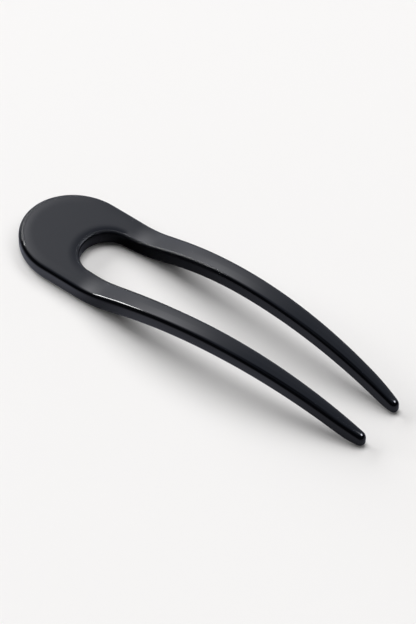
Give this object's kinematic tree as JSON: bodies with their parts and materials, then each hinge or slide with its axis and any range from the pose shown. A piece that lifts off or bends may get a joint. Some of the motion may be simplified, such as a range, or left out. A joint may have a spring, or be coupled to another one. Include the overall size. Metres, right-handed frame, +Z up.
{
  "type": "french hair pin",
  "caption": "U-shaped French hair pin with a broad round head and two slim tapering tines that arch up and come back down.",
  "frame": {"origin": "middle of the bounding box's base: half-way along the pin and across it, on the table it lies on", "axes": "+X along the pin from the head to the tips, +Y across the pin from one tine to the other, +Z up, away from the table"},
  "size_m": [0.13, 0.0324, 0.0139],
  "materials": {
    "acetate": "black cellulose acetate sheet, tumbled and polished to a high gloss, edges rounded"
  },
  "bodies": {
    "root": {"hair_pin": "acetate"}
  },
  "joints": []
}
